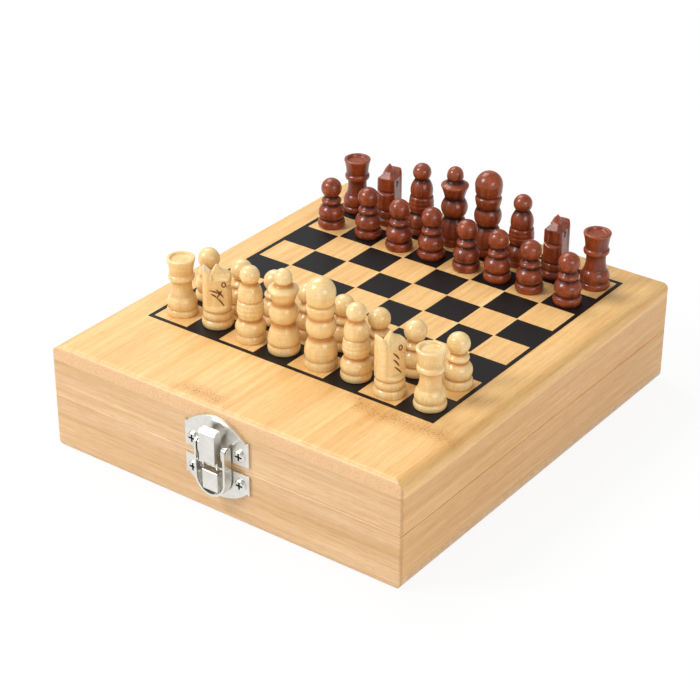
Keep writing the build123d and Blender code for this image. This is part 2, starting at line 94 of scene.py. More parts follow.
def spread(tree, value, low, high, toLow=0.0, toHigh=1.0):
    # value from low to high becomes toLow to toHigh, held at both ends
    node = addNode(tree, "ShaderNodeMapRange", {0: value, 1: low, 2: high, 3: toLow, 4: toHigh})
    return node.outputs[0]


def noise(tree, vector, scale, detail=4.0, rough=0.6):
    inputs = {"Vector": vector, "Scale": scale, "Detail": detail, "Roughness": rough}
    return addNode(tree, "ShaderNodeTexNoise", inputs).outputs["Fac"]


def stretched(tree, vector, x, y, z):
    return addNode(tree, "ShaderNodeMapping", {"Vector": vector, "Scale": (x, y, z)}).outputs[0]


def newMaterial(name):
    # also gives the place on the piece in millimetres
    material = bpy.data.materials.new(name)
    material.use_nodes = True
    tree = material.node_tree
    shader = tree.nodes["Principled BSDF"]
    metres = addNode(tree, "ShaderNodeTexCoord").outputs["Object"]
    return material, tree, shader, stretched(tree, metres, 1 / mm, 1 / mm, 1 / mm)


def wire(tree, shader, base, rough, height=None, depth=0.05):
    tree.links.new(base, shader.inputs["Base Color"])
    tree.links.new(rough, shader.inputs["Roughness"])
    if height is not None:
        bump = addNode(tree, "ShaderNodeBump", {"Height": height, "Distance": depth * mm, "Strength": 1.0})
        tree.links.new(bump.outputs[0], shader.inputs["Normal"])


# Bamboo: strips side by side, each with its own tone, long fibres along the grain

bambooLook = {
    "pale": colour(252, 214, 150),
    "deep": colour(234, 179, 106),
    "fibre": colour(198, 138, 70),
    # the scars' colour, also used for the painted shade line down the upright corners
    "scarAndShade": colour(150, 92, 36),
    "endPale": colour(234, 192, 146),
    "endDeep": colour(214, 168, 122),
    "endStrength": 0.85,
    "stripWidth": 6.6,  # mm
    "fibreLength": 34.0,  # how many times longer than wide the fibres are
    "scarHeight": 5.0,  # mm, to each side of a joint of the cane
    "scarFade": 8.0,  # mm, at each end of it
    "cornerShadeX": (71.6, 72.4),  # mm from the middle, where the painted shade line down the upright corners starts and is full
    "cornerShadeY": (81.6, 82.4),
    "roughLow": 0.34,
    "roughHigh": 0.50,
}

wallLook = dict(
    bambooLook,
    pale=colour(237, 203, 158),
    deep=colour(215, 170, 116),
    fibre=colour(172, 118, 66),
    stripWidth=5.2,
)

# painted shade: the side walls get a warmer, more saturated copy of the walls' colours, standing in for how the light
# falls on them
sideShadeLook = dict(wallLook, pale=colour(240, 196, 138), deep=colour(216, 162, 96), fibre=colour(184, 126, 66))


def bambooMaterial(name, look, grain, stripAxis, joints=()):
    # the fibres run along the grain's axis, and the strips lie side by side along the other one
    material, tree, shader, place = newMaterial(name)
    parts = addNode(tree, "ShaderNodeSeparateXYZ", {0: place}).outputs
    along = 1 / look["fibreLength"]
    fibres = stretched(tree, place, *[along if axis == grain else 1.0 for axis in "xyz"])
    strip = calc(tree, "FLOOR", calc(tree, "DIVIDE", parts["xyz".index(stripAxis)], look["stripWidth"]))
    tone = addNode(tree, "ShaderNodeTexWhiteNoise", {"W": strip}, noise_dimensions="1D").outputs["Value"]
    broad = noise(tree, fibres, 0.42, 5.0, 0.66)
    fine = noise(tree, fibres, 3.2, 6.0, 0.7)
    hair = noise(tree, fibres, 8.5, 2.0, 0.5)
    base = mixed(tree, spread(tree, broad, 0.32, 0.70), look["pale"], look["deep"])
    base = mixed(tree, spread(tree, fine, 0.50, 0.74, 0.0, 0.62), base, look["fibre"])
    base = mixed(tree, spread(tree, hair, 0.54, 0.72, 0.0, 0.35), base, look["fibre"])
    base = mixed(tree, spread(tree, tone, 0, 1, 0.0, 0.16), base, look["fibre"])
    # the cane's joints: a slightly darker band with scattered specks, shifted a little from strip to strip
    shifted = calc(tree, "ADD", parts[1], times(tree, calc(tree, "SUBTRACT", tone, 0.5), 5.0))
    speck = noise(tree, place, 1.6, 2.0, 0.5)
    fade = look["scarFade"]
    for low, high, level in joints:
        offset = calc(tree, "ABSOLUTE", calc(tree, "SUBTRACT", shifted, level))
        band = spread(tree, offset, 0.0, look["scarHeight"], 1.0, 0.0)
        begins = spread(tree, parts[0], low - fade, low)
        ends = spread(tree, parts[0], high, high + fade, 1, 0)
        band = times(tree, band, times(tree, begins, ends))
        base = mixed(tree, times(tree, band, 0.45), base, look["fibre"])
        specks = times(tree, band, spread(tree, speck, 0.56, 0.62))
        base = mixed(tree, times(tree, specks, 0.85), base, look["scarAndShade"])
    # end grain, where the piece's own surface faces along the fibres
    normal = addNode(tree, "ShaderNodeNewGeometry").outputs["Normal"]
    toOwn = {"vector_type": "NORMAL", "convert_from": "WORLD", "convert_to": "OBJECT"}
    own = addNode(tree, "ShaderNodeVectorTransform", {0: normal}, **toOwn).outputs[0]
    facing = addNode(tree, "ShaderNodeSeparateXYZ", {0: own}).outputs["xyz".index(grain)]
    isEnd = spread(tree, calc(tree, "ABSOLUTE", facing), 0.45, 0.85)
    dots = noise(tree, stretched(tree, place, 1, 1, 1.6), 2.2, 3.0, 0.6)
    endGrain = mixed(tree, spread(tree, dots, 0.40, 0.66), look["endPale"], look["endDeep"])
    base = mixed(tree, times(tree, isEnd, look["endStrength"]), base, endGrain)
    # painted shade: a dark line down the upright corners, where the rounded joint falls into shade
    cornerShadeX = spread(tree, calc(tree, "ABSOLUTE", parts[0]), *look["cornerShadeX"])
    cornerShadeY = spread(tree, calc(tree, "ABSOLUTE", parts[1]), *look["cornerShadeY"])
    corner = times(tree, cornerShadeX, cornerShadeY)
    base = mixed(tree, times(tree, corner, 0.7), base, look["scarAndShade"])
    rough = spread(tree, fine, 0.3, 0.7, look["roughLow"], look["roughHigh"])
    wire(tree, shader, base, rough, fine, 0.035)
    shader.inputs["Coat Weight"].default_value = 0.12
    shader.inputs["Coat Roughness"].default_value = 0.25
    shader.inputs["Specular IOR Level"].default_value = 0.4
    return material


# Turned wood: lacquered, with painted shade darkening the grooves (a mesh attribute from 0 to 1 marks them)
# and lighter on the rims that hands touch (the attribute proud)

lightWoodLook = {
    "pale": colour(250, 223, 166),
    "deep": colour(241, 202, 134),
    "streak": colour(224, 172, 96),
    # colour of the painted shade in the grooves
    "grooveShadeColour": colour(192, 124, 56),
    "grooveShadeStrength": 0.85,
    "wear": colour(251, 232, 184),
    "rough": 0.36,
    "coat": 0.7,
}

brownWoodLook = {
    "pale": colour(170, 76, 32),
    "deep": colour(112, 40, 16),
    "streak": colour(64, 20, 9),
    # colour of the painted shade in the grooves
    "grooveShadeColour": colour(40, 8, 3),
    "grooveShadeStrength": 0.95,
    "wear": colour(186, 98, 50),
    "rough": 0.42,
    "coat": 0.6,
}


def turnedWoodMaterial(name, look):
    material, tree, shader, place = newMaterial(name)
    fibres = stretched(tree, place, 1, 1, 0.13)
    broad = noise(tree, fibres, 0.33, 4.0, 0.6)
    fine = noise(tree, fibres, 2.4, 5.0, 0.65)
    lathe = noise(tree, stretched(tree, place, 0.05, 0.05, 1), 4.0, 3.0, 0.6)
    base = mixed(tree, spread(tree, broad, 0.35, 0.68), look["pale"], look["deep"])
    base = mixed(tree, spread(tree, fine, 0.48, 0.72, 0.0, 0.55), base, look["streak"])
    base = mixed(tree, spread(tree, lathe, 0.46, 0.76, 0.0, 0.50), base, look["streak"])
    creviceShade = addNode(tree, "ShaderNodeAttribute", attribute_name="creviceShade").outputs["Fac"]
    # painted shade: the grooves darkened towards the groove colour
    grooveShadeMask = times(tree, spread(tree, creviceShade, 0.08, 0.85), look["grooveShadeStrength"])
    base = mixed(tree, grooveShadeMask, base, look["grooveShadeColour"])
    proud = addNode(tree, "ShaderNodeAttribute", attribute_name="proud").outputs["Fac"]
    base = mixed(tree, spread(tree, proud, 0.2, 1.0, 0.0, 0.5), base, look["wear"])
    rough = spread(tree, fine, 0.3, 0.7, look["rough"] - 0.06, look["rough"] + 0.08)
    wire(tree, shader, base, rough, lathe, 0.02)
    tree.links.new(spread(tree, creviceShade, 0.05, 0.7, look["coat"], 0.1), shader.inputs["Coat Weight"])
    shader.inputs["Specular IOR Level"].default_value = 0.35
    shader.inputs["Coat Roughness"].default_value = 0.06
    return material


# Small finishes

steelLook = {
    "bright": colour(236, 234, 228),
    "dull": colour(222, 219, 211),
    "rough": 0.33,
}


def steelMaterial():
    material, tree, shader, place = newMaterial("platedSteel")
    cloud = noise(tree, place, 0.25, 4.0, 0.6)
    scratch = noise(tree, stretched(tree, place, 1, 1, 0.08), 6.0, 3.0, 0.6)
    base = mixed(tree, spread(tree, cloud, 0.35, 0.7), steelLook["bright"], steelLook["dull"])
    rough = spread(tree, scratch, 0.3, 0.75, steelLook["rough"] - 0.06, steelLook["rough"] + 0.10)
    wire(tree, shader, base, rough, scratch, 0.0008)
    shader.inputs["Metallic"].default_value = 1.0
    return material


def recessShadeMaterial():
    # painted shade: a dark finish for the bottoms of the screws' cross recesses, standing in for the shade there
    material, tree, shader, place = newMaterial("recessPaintedShade")
    shadeMottle = noise(tree, place, 3.0, 3.0, 0.6)
    base = mixed(tree, shadeMottle, colour(18, 13, 11), colour(34, 26, 22))
    wire(tree, shader, base, spread(tree, shadeMottle, 0.3, 0.7, 0.6, 0.8))
    shader.inputs["Specular IOR Level"].default_value = 0.1
    return material


def printMaterial():
    # black ink screened on to the wood, whose fibres still show through as fine ridges
    material, tree, shader, place = newMaterial("blackInk")
    fibres = noise(tree, stretched(tree, place, 1, 0.04, 1), 3.2, 4.0, 0.6)
    base = mixed(tree, spread(tree, fibres, 0.4, 0.75), colour(12, 11, 12), colour(26, 24, 24))
    wire(tree, shader, base, spread(tree, fibres, 0.3, 0.7, 0.36, 0.48), fibres, 0.02)
    shader.inputs["Specular IOR Level"].default_value = 0.25
    return material


def feltMaterial():
    material, tree, shader, place = newMaterial("darkFelt")
    nap = noise(tree, place, 5.0, 4.0, 0.7)
    base = mixed(tree, nap, colour(24, 24, 27), colour(58, 58, 62))
    wire(tree, shader, base, spread(tree, nap, 0.3, 0.7, 0.85, 0.98), nap, 0.15)
    shader.inputs["Sheen Weight"].default_value = 0.3
    return material


def burntMaterial():
    # lines burnt into the light knights' cheeks
    material, tree, shader, place = newMaterial("burntLine")
    char = noise(tree, place, 4.0, 3.0, 0.6)
    base = mixed(tree, char, colour(92, 38, 16), colour(150, 78, 38))
    wire(tree, shader, base, spread(tree, char, 0.3, 0.7, 0.5, 0.7))
    return material


caneJoints = ((34, 66, -52), (-17, -5, -79), (-60, -44, 77))  # on the lid's board: x low, x high, y in mm
bambooTop = bambooMaterial("topBamboo", bambooLook, "y", "x", caneJoints)
bambooFront = bambooMaterial("frontBamboo", wallLook, "x", "z")
bambooFloor = bambooMaterial("floorBamboo", dict(wallLook, endStrength=0.0), "x", "z")
bambooSideShade = bambooMaterial("sideBambooShade", sideShadeLook, "y", "z")
lightWood = turnedWoodMaterial("lightWood", lightWoodLook)
brownWood = turnedWoodMaterial("brownWood", brownWoodLook)
steel = steelMaterial()
recessShade = recessShadeMaterial()
ink = printMaterial()
felt = feltMaterial()
burnt = burntMaterial()
print("materials made")


def dress(obj, material):
    obj.data.materials.clear()
    obj.data.materials.append(material)


for name, node in nodes.items():
    if name == "lid_panel":
        dress(node, bambooTop)
    elif name == "base_floor":
        dress(node, bambooFloor)
    elif name.endswith("_wall"):
        dress(node, bambooFront if "front" in name or "back" in name else bambooSideShade)
    elif name == "base_divider":
        dress(node, bambooFront)
    elif name == "base_felt":
        dress(node, felt)
    elif name == "board_print":
        dress(node, ink)
    elif name.startswith("light_"):
        dress(node, lightWood)
    elif name.startswith("brown_"):
        dress(node, brownWood)
    else:
        dress(node, steel)


# Turned pieces

def pieceObject(name, vertices, faces, material, smooth=True):
    mesh = bpy.data.meshes.new(name)
    mesh.from_pydata(vertices, [], faces)
    mesh.update()
    if smooth:
        mesh.polygons.foreach_set("use_smooth", np.ones(len(mesh.polygons), bool))
    obj = bpy.data.objects.new(name, mesh)
    bpy.context.scene.collection.objects.link(obj)
    dress(obj, material)
    return obj


def bell(span, width):
    # weights that fall off as e to the minus half of (distance over width) squared, and add up to 1
    weight = np.exp(-0.5 * (span / width) ** 2)
    return weight / weight.sum()


def softened(values, reach, tip=1):
    # a running mean with a bell-shaped weight; past the axis the outline comes back mirrored (tip -1 for radii)
    weight = bell(np.arange(-3 * reach, 3 * reach + 1), reach)
    beyond = tip * values[-2 : -2 - 3 * reach : -1]
    padded = np.concatenate([np.full(3 * reach, values[0]), values, beyond])
    return np.convolve(padded, weight, mode="valid")


def outlinePoints(stretches, height, radius, start):
    # each stretch runs straight, or as an arc whose rise is the swell times its length, to (share, share)
    r, z = [start * radius], [0.0]
    t = np.linspace(0, 1, 25)[1:]
    for top, share, swell in stretches:
        r0, z0 = r[-1], z[-1]
        r1, z1 = share * radius, top * height
        bow = 4 * swell * t * (1 - t)
        r.extend(r0 + (r1 - r0) * t + (z1 - z0) * bow)
        z.extend(z0 + (z1 - z0) * t - (r1 - r0) * bow)
    return np.array(r), np.array(z)


def domePoints(r0, z0, height):
    # a ball on top: a circle centred on the axis, through the neck and the piece's highest point
    rise = height - z0
    ball = (r0**2 + rise**2) / (2 * rise)
    angle = np.linspace(math.asin((ball - rise) / ball), math.pi / 2, 40)[1:]
    return ball * np.cos(angle), height - ball + ball * np.sin(angle)


turning = {
    "rings": 150,
    "sides": 72,
    "soft": 0.13,  # mm over which the tool's edges are rounded
    "broad": 9,  # how many times wider the mean is that tells a groove from a rim
    "grooveDepth": 0.55,  # mm below and above that mean, where a groove and a rim count in full
    "rimHeight": 0.9,
    "uneven": 0.012,  # how much smaller a piece may be than the next, as a share
}
irregular = np.random.default_rng(7)


def turnedMesh(r, z, centre, spin):
    # the outline, spaced evenly along its length and softened, carried round the axis:
    # x = r cos a, y = r sin a, with every ring turned by spin so that no two pieces line up
    rings, sides = turning["rings"], turning["sides"]
    length = np.concatenate([[0], np.cumsum(np.hypot(np.diff(r), np.diff(z)))])
    even = np.linspace(0, length[-1], rings)
    r, z = np.interp(even, length, r), np.interp(even, length, z)
    reach = max(1, int(turning["soft"] / (even[1] - even[0])))
    rSoft, zSoft = softened(r, reach, -1), softened(z, reach)
    broadSoft = softened(r, reach * turning["broad"], -1)
    # painted shade mask for the grooves: how far each ring sits below the broad mean
    creviceShade = np.clip((broadSoft - rSoft) / turning["grooveDepth"], 0, 1)
    proud = np.clip((rSoft - broadSoft) / turning["rimHeight"], 0, 1)
    creviceShade[rSoft < 0.4] = 0
    angle = np.linspace(0, 2 * math.pi, sides, endpoint=False) + spin
    body = slice(0, rings - 1)
    x = rSoft[body, None] * np.cos(angle)
    y = rSoft[body, None] * np.sin(angle)
    level = np.repeat(zSoft[body, None], sides, axis=1)
    points = np.stack([x, y, level], axis=-1).reshape(-1, 3)
    foot = [0.0, 0.0, zSoft[0]]
    tip = [0.0, 0.0, zSoft[-1]]
    points = (np.vstack([points, foot, tip]) + centre) * mm
    ring, side = np.meshgrid(np.arange(rings - 2), np.arange(sides), indexing="ij")
    after = (side + 1) % sides
    a, b = ring * sides + side, ring * sides + after
    quads = np.stack([a, b, b + sides, a + sides], axis=-1).reshape(-1, 4)
    k = np.arange(sides)
    last = (rings - 2) * sides
    footIndex, tipIndex = len(points) - 2, len(points) - 1
    bottom = np.stack([(k + 1) % sides, k, np.full(sides, footIndex)], axis=-1)
    top = np.stack([last + k, last + (k + 1) % sides, np.full(sides, tipIndex)], axis=-1)
    faces = quads.tolist() + bottom.tolist() + top.tolist()
    marks = [np.append(np.repeat(mark[body], sides), [0, 0]) for mark in (creviceShade, proud)]
    return points, faces, marks


def writeMarks(obj, marks):
    for name, values in zip(("creviceShade", "proud"), marks):
        layer = obj.data.attributes.new(name, "FLOAT", "POINT")
        layer.data.foreach_set("value", values.astype(np.float32))


# Heights and radii in mm. Each stretch: the share of the height where it ends, its radius there as a share
# of the foot's, its swell
pieceLook = {
    "pawn": {
        "height": 19.4, "radius": 5.1, "start": 0.93,
        "outline": [
            (0.150, 0.94, 0.14), (0.170, 0.80, 0), (0.460, 0.64, 0.22), (0.478, 0.56, 0),
            (0.600, 0.57, 0.37), (0.640, 0.46, 0),
        ],
    },
    "rook": {
        "height": 21.4, "radius": 5.6, "start": 0.95,
        "outline": [
            (0.095, 0.95, 0.12), (0.112, 0.88, 0), (0.330, 0.74, 0.15), (0.605, 0.65, -0.05), (0.618, 0.79, 0),
            (0.700, 0.81, 0.13), (0.716, 0.74, 0), (0.970, 0.90, -0.03), (0.998, 0.86, 0.2),
            (0.998, 0.68, 0), (0.956, 0.62, 0), (0.957, 0, 0),
        ],
    },
    "bishop": {
        "height": 27.6, "radius": 5.4, "start": 0.93,
        "outline": [
            (0.090, 0.95, 0.11), (0.100, 0.90, 0), (0.290, 0.71, 0.18), (0.298, 0.68, 0), (0.310, 0.74, 0),
            (0.350, 0.81, 0.05), (0.354, 0.79, 0), (0.358, 0.82, 0), (0.420, 0.87, 0.08), (0.427, 0.82, 0),
            (0.436, 0.86, 0), (0.480, 0.84, 0.05), (0.484, 0.81, 0), (0.488, 0.83, 0), (0.535, 0.79, 0.07),
            (0.545, 0.70, 0), (0.555, 0.75, 0), (0.770, 0.50, 0.12), (0.788, 0.46, 0),
        ],
    },
    "queen": {
        "height": 30.4, "radius": 5.65, "start": 0.94,
        "outline": [
            (0.095, 0.95, 0.11), (0.103, 0.90, 0), (0.160, 0.98, 0.12), (0.345, 0.65, 0.05), (0.357, 0.62, 0),
            (0.585, 0.67, 0.20), (0.597, 0.64, 0), (0.740, 0.89, -0.02), (0.785, 0.80, 0.32), (0.835, 0.46, -0.06),
            (0.895, 0.54, 0.15),
        ],
    },
    "king": {
        "height": 32.4, "radius": 5.65, "start": 0.94,
        "outline": [
            (0.090, 0.95, 0.11), (0.098, 0.91, 0), (0.180, 0.99, 0.08), (0.337, 0.68, 0.08), (0.350, 0.65, 0),
            (0.450, 0.90, 0.09), (0.550, 0.77, 0.09), (0.565, 0.73, 0), (0.665, 0.87, 0.03), (0.706, 0.80, 0.17),
            (0.717, 0.75, 0), (0.728, 0.82, 0), (0.810, 0.89, 0.05),
        ],
    },
    "knight": {
        "height": 22.8, "radius": 5.5, "start": 0.95,
        "outline": [
            (0.110, 0.95, 0.14), (0.130, 0.86, 0), (0.245, 0.88, 0.12), (0.262, 0.82, 0), (0.300, 0.925, 0),
            (0.330, 0.925, 0),
        ],
    },
}


def centreOf(name):
    low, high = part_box(name)
    return np.array([(low[0] + high[0]) / 2, (low[1] + high[1]) / 2, low[2]]) / mm


def turnedPiece(name, kind, material):
    look = pieceLook[kind]
    wobble = 1 + irregular.uniform(-turning["uneven"], 0.0, 2)
    r, z = outlinePoints(look["outline"], look["height"], look["radius"], look["start"])
    if r[-1] > 0:
        dome = domePoints(r[-1], z[-1], look["height"])
        r, z = np.append(r, dome[0]), np.append(z, dome[1])
    spin = irregular.uniform(0, 2 * math.pi)
    points, faces, marks = turnedMesh(r * wobble[0], z * wobble[1], centreOf(name), spin)
    obj = pieceObject("turned_" + name, points.tolist(), faces, material)
    writeMarks(obj, marks)
    return obj


# Knights: a turned foot under a blank sawn to a horse's head

knightLook = {
    "blank": 5.115,  # radius of the round blank, mm
    "cheek": 3.6,  # half width, mm
    # half widths in mm at shares of the head's height: the face with its ear, and the mane behind it
    "face": ([0.03, 0.10, 0.70, 0.80, 1.00], [5.5, 3.6, 3.4, 1.5, 0.5]),
    "mane": ([0.03, 0.10, 0.70, 1.00], [5.5, 3.6, 3.6, 2.4]),
    "maneFront": -1.9,  # mm
    "shoulder": 6.84,  # mm, where the turned foot ends
    "height": {"light": 22.8, "brown": 23.6},
    # how far each one was turned on its square, in degrees from above
    "turned": {"light_knight_left": -48, "light_knight_right": -20, "brown_knight_left": 12, "brown_knight_right": 7},
    "step": 0.17,  # mm between the grid's places
    "gridStart": 0.03,  # keeps them off the flat underside
    "clear": 0.02,  # between the underside and the board
    "outlineSoft": 0.15,  # mm over which the saw's and the knife's edges are rounded
    "blankSoft": 0.35,
    "edgeSoft": 0.5,
    # the head's side outline: forward as a share of the blank, height as a share of the head
    "outline": {
        "light": [
            (-1.30, -0.10), (-1.30, 0.72), (-1.00, 0.90), (-0.86, 0.97), (-0.42, 0.78), (0.00, 1.02), (0.32, 0.89),
            (0.88, 0.80), (1.02, 0.74), (1.00, 0.62), (0.52, 0.55), (1.04, 0.42), (1.30, 0.30), (1.30, -0.10),
        ],
        "brown": [
            (-1.30, -0.10), (-1.30, 0.62), (-1.00, 0.80), (-0.86, 0.84), (-0.40, 0.72), (0.00, 1.03), (0.24, 0.82),
            (1.00, 0.74), (0.99, 0.45), (0.68, 0.42), (1.02, 0.33), (1.30, 0.24), (1.30, -0.10),
        ],
    },
    # forward share and height share
    "eye": {
        "light_knight_left": (0.42, 0.61),
        "light_knight_right": (0.30, 0.69),
        "brown_knight_left": (0.14, 0.58),
        "brown_knight_right": (0.14, 0.62),
    },
    "pits": ((0.45, 0.75), (-0.45, 0.1), (0.35, -0.65)),  # from the eye's middle, in mm
    "pitRadius": 0.42,
    "pitShadeReach": 2.2,  # how many times a pit's radius the painted shade round it reaches
    "ring": (0.62, 0.88),
    "ringShare": 0.35,  # of the stroke's width, to each side of the ring's middle
    "strokeWidth": 0.58,
    "strokeBend": 0.12,
    "strokeLift": 0.02,  # above the cheek
    # where each stroke starts and ends, forward and up from the eye in mm
    "strokes": {
        "light_knight_left": [
            ((-5.0, -1.9), (-1.3, -3.5)), ((-4.4, -3.3), (-2.4, -4.9)), ((-2.6, -1.7), (-0.2, -4.9)),
            ((-2.4, -4.9), (0.1, -8.3)), ((-0.7, -2.1), (-2.4, -4.9)),
        ],
        "light_knight_right": [
            ((-2.8, -1.3), (-0.4, -4.2)), ((-2.7, -3.6), (-0.4, -6.7)), ((-2.2, -6.5), (0.5, -9.6)),
        ],
    },
}


def outlineField(corners, y, z):
    # distance in the side view from each place to the nearest edge, negative inside the outline
    far = np.full(y.shape, 1e9)
    inside = np.zeros(y.shape, bool)
    for (y0, z0), (y1, z1) in zip(corners, np.roll(corners, -1, axis=0)):
        dy, dz = y1 - y0, z1 - z0
        share = np.clip(((y - y0) * dy + (z - z0) * dz) / (dy**2 + dz**2), 0, 1)
        far = np.minimum(far, np.hypot(y - y0 - share * dy, z - z0 - share * dz))
        crosses = (z0 > z) != (z1 > z)
        if dz:
            inside ^= crosses & (y < y0 + (z - z0) * dy / dz)
    return np.where(inside, -far, far)


def smoothMax(a, b, soft):
    # the larger of two distances, with the corner between them rounded over the width soft
    blend = np.maximum(soft - np.abs(a - b), 0) / soft
    return np.maximum(a, b) + blend**2 * soft / 4


def netted(field, low, step):
    # the surface where the field is zero: a vertex in each grid cell that it passes through, at the mean
    # of its crossings of the cell's edges, and a face round each grid edge that it crosses
    cells = tuple(np.array(field.shape) - 1)
    total, count = np.zeros((*cells, 3)), np.zeros(cells)
    rounds = []
    for axis in range(3):
        near = np.moveaxis(np.moveaxis(field, axis, 0)[:-1], 0, axis)
        far = np.moveaxis(np.moveaxis(field, axis, 0)[1:], 0, axis)
        crosses = (near < 0) != (far < 0)
        place = np.argwhere(crosses)
        point = place.astype(float)
        point[:, axis] += near[crosses] / (near[crosses] - far[crosses])
        u, v = [other for other in range(3) if other != axis]
        corners = []
        for du, dv in ((1, 1), (0, 1), (0, 0), (1, 0)):
            cell = place.copy()
            cell[:, u] -= du
            cell[:, v] -= dv
            cell = tuple(cell.T)
            np.add.at(total, cell, point)
            np.add.at(count, cell, 1)
            corners.append(np.ravel_multi_index(cell, cells))
        quads = np.stack(corners, axis=-1)
        turned = (near[crosses] < 0) == (axis == 1)
        quads[turned] = quads[turned][:, ::-1]
        rounds.append(quads)
    used = count > 0
    index = np.full(cells, -1)
    index[used] = np.arange(used.sum())
    points = total[used] / count[used][:, None] * step + low
    return points, index.reshape(-1)[np.vstack(rounds)]


def turnedRound(name, points):
    # the points of a knight, turned about its upright axis and carried to its place
    degrees = knightLook["turned"][name] + (180 if name.startswith("brown") else 0)
    c, s = math.cos(math.radians(degrees)), math.sin(math.radians(degrees))
    return (points @ np.array([[c, s, 0], [-s, c, 0], [0, 0, 1]]) + centreOf(name)) * mm


def eyePlace(name):
    # how far forward and how high the eye is, in mm
    look = knightLook
    forward, above = look["eye"][name]
    tall = look["height"][name.split("_")[0]] - look["shoulder"]
    return forward * look["blank"], look["shoulder"] + above * tall


def sawnOutline(tone, y, z):
    # the side outline's distances, softened both ways by a bell-shaped mean
    look = knightLook
    base = look["shoulder"]
    tall = look["height"][tone] - base
    weight = bell(np.arange(-4, 5) * look["step"], look["outlineSoft"])
    plane = outlineField(np.array(look["outline"][tone]) * [look["blank"], tall] + [0, base], y, z)
    for axis in (0, 1):
        plane = np.apply_along_axis(lambda row: np.convolve(np.pad(row, 4, "edge"), weight, "valid"), axis, plane)
    return plane


def knightSolid(name, material, eyes):
    # three shapes in one: the round blank, the side outline carried across, and the cheeks that lean in above;
    # the head is where all three overlap, and the turned foot is joined on below
    look, kind, tone = knightLook, pieceLook["knight"], name.split("_")[0]
    step, radius, base, height = look["step"], kind["radius"], look["shoulder"], look["height"][tone]
    side = np.arange(-radius - 3 * step, radius + 3 * step, step)
    up = np.arange(-3 * step + look["gridStart"], height + 3 * step, step)
    x, y, z = np.meshgrid(side, side, up, indexing="ij")
    r, profile = outlinePoints(kind["outline"], kind["height"], radius, kind["start"])
    wide = np.interp(up, profile, softened(r, 2))
    across = np.hypot(x, y)
    share = (up - base) / (height - base)
    half = np.where(y < look["maneFront"], np.interp(share, *look["mane"]), np.interp(share, *look["face"]))
    head = smoothMax(across - look["blank"], sawnOutline(tone, y[0], z[0])[None], look["blankSoft"])
    head = smoothMax(head, (np.abs(x) - half) * 0.93, look["edgeSoft"])
    head = np.maximum(head, base - z)
    foot = np.maximum(np.maximum(across - wide, z - base - 0.2), -z)
    field = np.minimum(head, foot)
    eyeY, eyeZ = eyePlace(name)
    pits = [(eyeY + forward, eyeZ + above) for forward, above in look["pits"]] if eyes else []
    for pitY, pitZ in pits:
        ball = np.sqrt((np.abs(x) - look["cheek"]) ** 2 + (y - pitY) ** 2 + (z - pitZ) ** 2)
        field = np.maximum(field, look["pitRadius"] - ball)
    points, faces = netted(field, [side[0], side[0], up[0]], step)
    points[:, 2] = np.maximum(points[:, 2], look["clear"])
    # painted shade mask for the foot's grooves
    grooves = np.clip((softened(wide, turning["broad"]) - wide) / turning["grooveDepth"], 0, 1)
    creviceShade = np.interp(points[:, 2], up, grooves)
    creviceShade[points[:, 2] > base + 0.4] = 0
    # painted shade round each eye pit, reaching a few pit radii
    for pitY, pitZ in pits:
        near = np.hypot(points[:, 1] - pitY, points[:, 2] - pitZ)
        creviceShade = np.maximum(creviceShade, np.clip(look["pitShadeReach"] - near / look["pitRadius"], 0, 1))
    obj = pieceObject("carved_" + name, turnedRound(name, points).tolist(), faces.tolist(), material)
    writeMarks(obj, (creviceShade, np.zeros(len(points))))
    return obj


def burntRibbon(name, path, width, side):
    # a flat ribbon on the cheek along a path in the head's side view, half its width to each side of the path;
    # a stroke thins towards its ends as a sine does, a ring keeps its width
    path = np.asarray(path, float)
    run = np.gradient(path, axis=0)
    run /= np.linalg.norm(run, axis=1)[:, None]
    across = np.stack([-run[:, 1], run[:, 0]], axis=1)
    taper = np.sin(np.linspace(0.45, math.pi - 0.45, len(path)))[:, None] * width / 2
    if np.allclose(path[0], path[-1]):
        taper[:] = width * knightLook["ringShare"]
    left, right = path + across * taper, path - across * taper
    x = np.full(len(path), side * (knightLook["cheek"] + knightLook["strokeLift"]))
    rows = [np.stack([x, edge[:, 0], edge[:, 1]], axis=-1) for edge in (left, right)]
    points = turnedRound(name, np.vstack(rows))
    n = len(path)
    k = np.arange(n - 1)
    quads = np.stack([k, k + 1, k + 1 + n, k + n], axis=-1)
    if side > 0:
        quads = quads[:, ::-1]
    return points, quads


def burntMarks(name):
    # an eye ring and a few strokes on both cheeks, joined into one piece
    look, eye = knightLook, np.array(eyePlace(name))
    turn = np.linspace(0, 2 * math.pi, 25)[:, None]
    paths = [eye + look["ring"] * np.hstack([np.cos(turn), np.sin(turn)])]
    t = np.linspace(0, 1, 12)[:, None]
    for begin, end in np.array(look["strokes"][name]):
        paths.append(eye + begin + (end - begin) * t + look["strokeBend"] * np.sin(math.pi * t))
    points, faces, start = [], [], 0
    for side in (-1, 1):
        for path in paths:
            p, q = burntRibbon(name, path, look["strokeWidth"], side)
            points.append(p)
            faces.append(q + start)
            start += len(p)
    return pieceObject("marks_" + name, np.vstack(points).tolist(), np.vstack(faces).tolist(), burnt, smooth=False)


for name in sorted(nodes):
    if not name.startswith(("light_", "brown_")):
        continue
    tone, kind = name.split("_")[:2]
    material = lightWood if tone == "light" else brownWood
    if kind == "knight":
        piece = knightSolid(name, material, tone == "brown")
        if tone == "light":
            marks = burntMarks(name)
            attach(marks, name)
    else:
        piece = turnedPiece(name, kind, material)
    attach(piece, name)
    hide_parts(name)
print("pieces turned")


# Pressed metal: copies of the latch's and the hinges' parts with their edges eased

